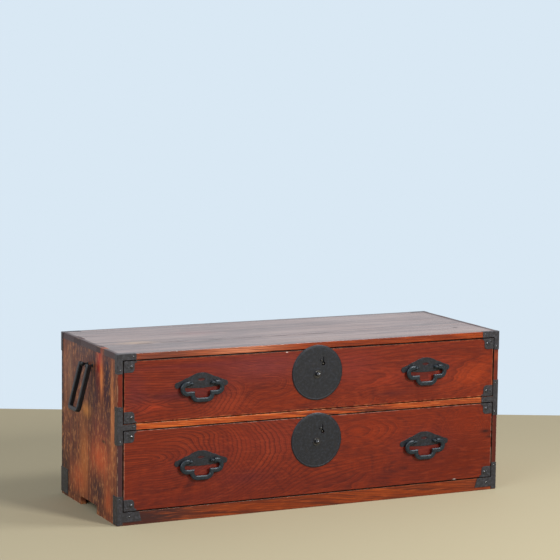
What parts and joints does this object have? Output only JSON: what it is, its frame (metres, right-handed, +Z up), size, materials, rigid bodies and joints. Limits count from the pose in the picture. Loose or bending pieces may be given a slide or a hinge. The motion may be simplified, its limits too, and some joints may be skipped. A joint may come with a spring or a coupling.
{
  "type": "clothing chest",
  "caption": "Low wooden clothing chest with wide drawers, round iron lock plates, three-lobed bail handles, iron corner fittings and folding carrying loops.",
  "frame": {"origin": "on the floor, in the middle of the whole chest with its ironwork", "axes": "+X along the front to the viewer's right, +Y from the drawer fronts to the back, +Z up"},
  "size_m": [1.2012, 0.4275, 0.435],
  "materials": {
    "lacquered_front": "worn red-brown lacquer over lively figured hardwood, satin",
    "edge_hardwood": "bright orange-brown hardwood edges, satin",
    "side_board": "weathered streaky stained wood, upright grain",
    "top_board": "dark stained wood, worn, satin",
    "case_softwood": "plain aged softwood",
    "drawer_softwood": "plain light softwood",
    "peg_wood": "split wood pegs",
    "sheet_iron": "dark blue-black sheet iron, baked finish",
    "forged_iron": "dark forged iron, rubbed on the high edges",
    "worn_iron": "dark iron heads, rubbed bright on top",
    "lock_iron": "plain filed iron, dull"
  },
  "bodies": {
    "case": {"back_lower_board": "case_softwood", "back_pegs": "peg_wood", "back_upper_board": "case_softwood", "bottom_board": "case_softwood", "bottom_left_corner_iron": "sheet_iron", "bottom_rail": "edge_hardwood", "bottom_right_corner_iron": "sheet_iron", "dust_board": "case_softwood", "iron_nails": "worn_iron", "left_side_front_board": "side_board", "left_side_rear_board": "side_board", "loop_posts": "forged_iron", "middle_left_iron": "sheet_iron", "middle_rail": "edge_hardwood", "middle_right_iron": "sheet_iron", "rear_bottom_irons": "sheet_iron", "rear_top_irons": "sheet_iron", "right_side_front_board": "side_board", "right_side_rear_board": "side_board", "top_front_board": "top_board", "top_front_edge": "edge_hardwood", "top_left_corner_iron": "sheet_iron", "top_rear_board": "top_board", "top_right_corner_iron": "sheet_iron"},
    "upper_drawer": {"upper_corner_irons": "sheet_iron", "upper_corner_studs": "worn_iron", "upper_drawer_back": "drawer_softwood", "upper_drawer_bottom": "drawer_softwood", "upper_drawer_front": "lacquered_front", "upper_drawer_left_side": "drawer_softwood", "upper_drawer_right_side": "drawer_softwood", "upper_handle_plates": "sheet_iron", "upper_handle_posts": "forged_iron", "upper_lock_boss": "worn_iron", "upper_lock_case": "lock_iron", "upper_lock_plate": "sheet_iron", "upper_lock_spring": "lock_iron"},
    "lower_drawer": {"lower_corner_irons": "sheet_iron", "lower_corner_studs": "worn_iron", "lower_drawer_back": "drawer_softwood", "lower_drawer_bottom": "drawer_softwood", "lower_drawer_front": "lacquered_front", "lower_drawer_left_side": "drawer_softwood", "lower_drawer_right_side": "drawer_softwood", "lower_handle_plates": "sheet_iron", "lower_handle_posts": "forged_iron", "lower_lock_boss": "worn_iron", "lower_lock_case": "lock_iron", "lower_lock_plate": "sheet_iron", "lower_lock_spring": "lock_iron"},
    "upper_left_bail": {"upper_left_bail": "forged_iron"},
    "upper_right_bail": {"upper_right_bail": "forged_iron"},
    "upper_lock_bolt": {"upper_lock_bolt": "lock_iron"},
    "upper_lock_button": {"upper_lock_button": "worn_iron"},
    "lower_left_bail": {"lower_left_bail": "forged_iron"},
    "lower_right_bail": {"lower_right_bail": "forged_iron"},
    "lower_lock_bolt": {"lower_lock_bolt": "lock_iron"},
    "lower_lock_button": {"lower_lock_button": "worn_iron"},
    "left_carrying_loop": {"left_carrying_loop": "forged_iron"},
    "right_carrying_loop": {"right_carrying_loop": "forged_iron"}
  },
  "joints": [
    {"name": "upper_drawer_slide", "type": "slide", "parent": "case", "child": "upper_drawer", "axis": [0, -1, 0], "range_m": [0, 0.34]},
    {"name": "lower_drawer_slide", "type": "slide", "parent": "case", "child": "lower_drawer", "axis": [0, -1, 0], "range_m": [0, 0.34]},
    {"name": "upper_left_bail_hinge", "type": "hinge", "parent": "upper_drawer", "child": "upper_left_bail", "pos_m": [-0.324, -0.2062, 0.35], "axis": [-1, 0, 0], "range_deg": [-4, 160]},
    {"name": "upper_right_bail_hinge", "type": "hinge", "parent": "upper_drawer", "child": "upper_right_bail", "pos_m": [0.324, -0.2062, 0.35], "axis": [-1, 0, 0], "range_deg": [-4, 160]},
    {"name": "upper_bolt_slide", "type": "slide", "parent": "upper_drawer", "child": "upper_lock_bolt", "axis": [0, 0, 1], "range_m": [0, 0.008]},
    {"name": "upper_button_slide", "type": "slide", "parent": "upper_drawer", "child": "upper_lock_button", "axis": [0, 1, 0], "range_m": [0, 0.0025], "stiffness_N_per_m": 300, "deforming": ["upper_lock_spring"]},
    {"name": "lower_left_bail_hinge", "type": "hinge", "parent": "lower_drawer", "child": "lower_left_bail", "pos_m": [-0.324, -0.2062, 0.15], "axis": [-1, 0, 0], "range_deg": [-4, 160]},
    {"name": "lower_right_bail_hinge", "type": "hinge", "parent": "lower_drawer", "child": "lower_right_bail", "pos_m": [0.324, -0.2062, 0.15], "axis": [-1, 0, 0], "range_deg": [-4, 160]},
    {"name": "lower_bolt_slide", "type": "slide", "parent": "lower_drawer", "child": "lower_lock_bolt", "axis": [0, 0, 1], "range_m": [0, 0.008]},
    {"name": "lower_button_slide", "type": "slide", "parent": "lower_drawer", "child": "lower_lock_button", "axis": [0, 1, 0], "range_m": [0, 0.0025], "stiffness_N_per_m": 300, "deforming": ["lower_lock_spring"]},
    {"name": "left_loop_hinge", "type": "hinge", "parent": "case", "child": "left_carrying_loop", "pos_m": [-0.565, -0.005, 0.38], "axis": [0, 1, 0], "range_deg": [-18, 163]},
    {"name": "right_loop_hinge", "type": "hinge", "parent": "case", "child": "right_carrying_loop", "pos_m": [0.565, -0.005, 0.38], "axis": [0, -1, 0], "range_deg": [-18, 163]}
  ]
}
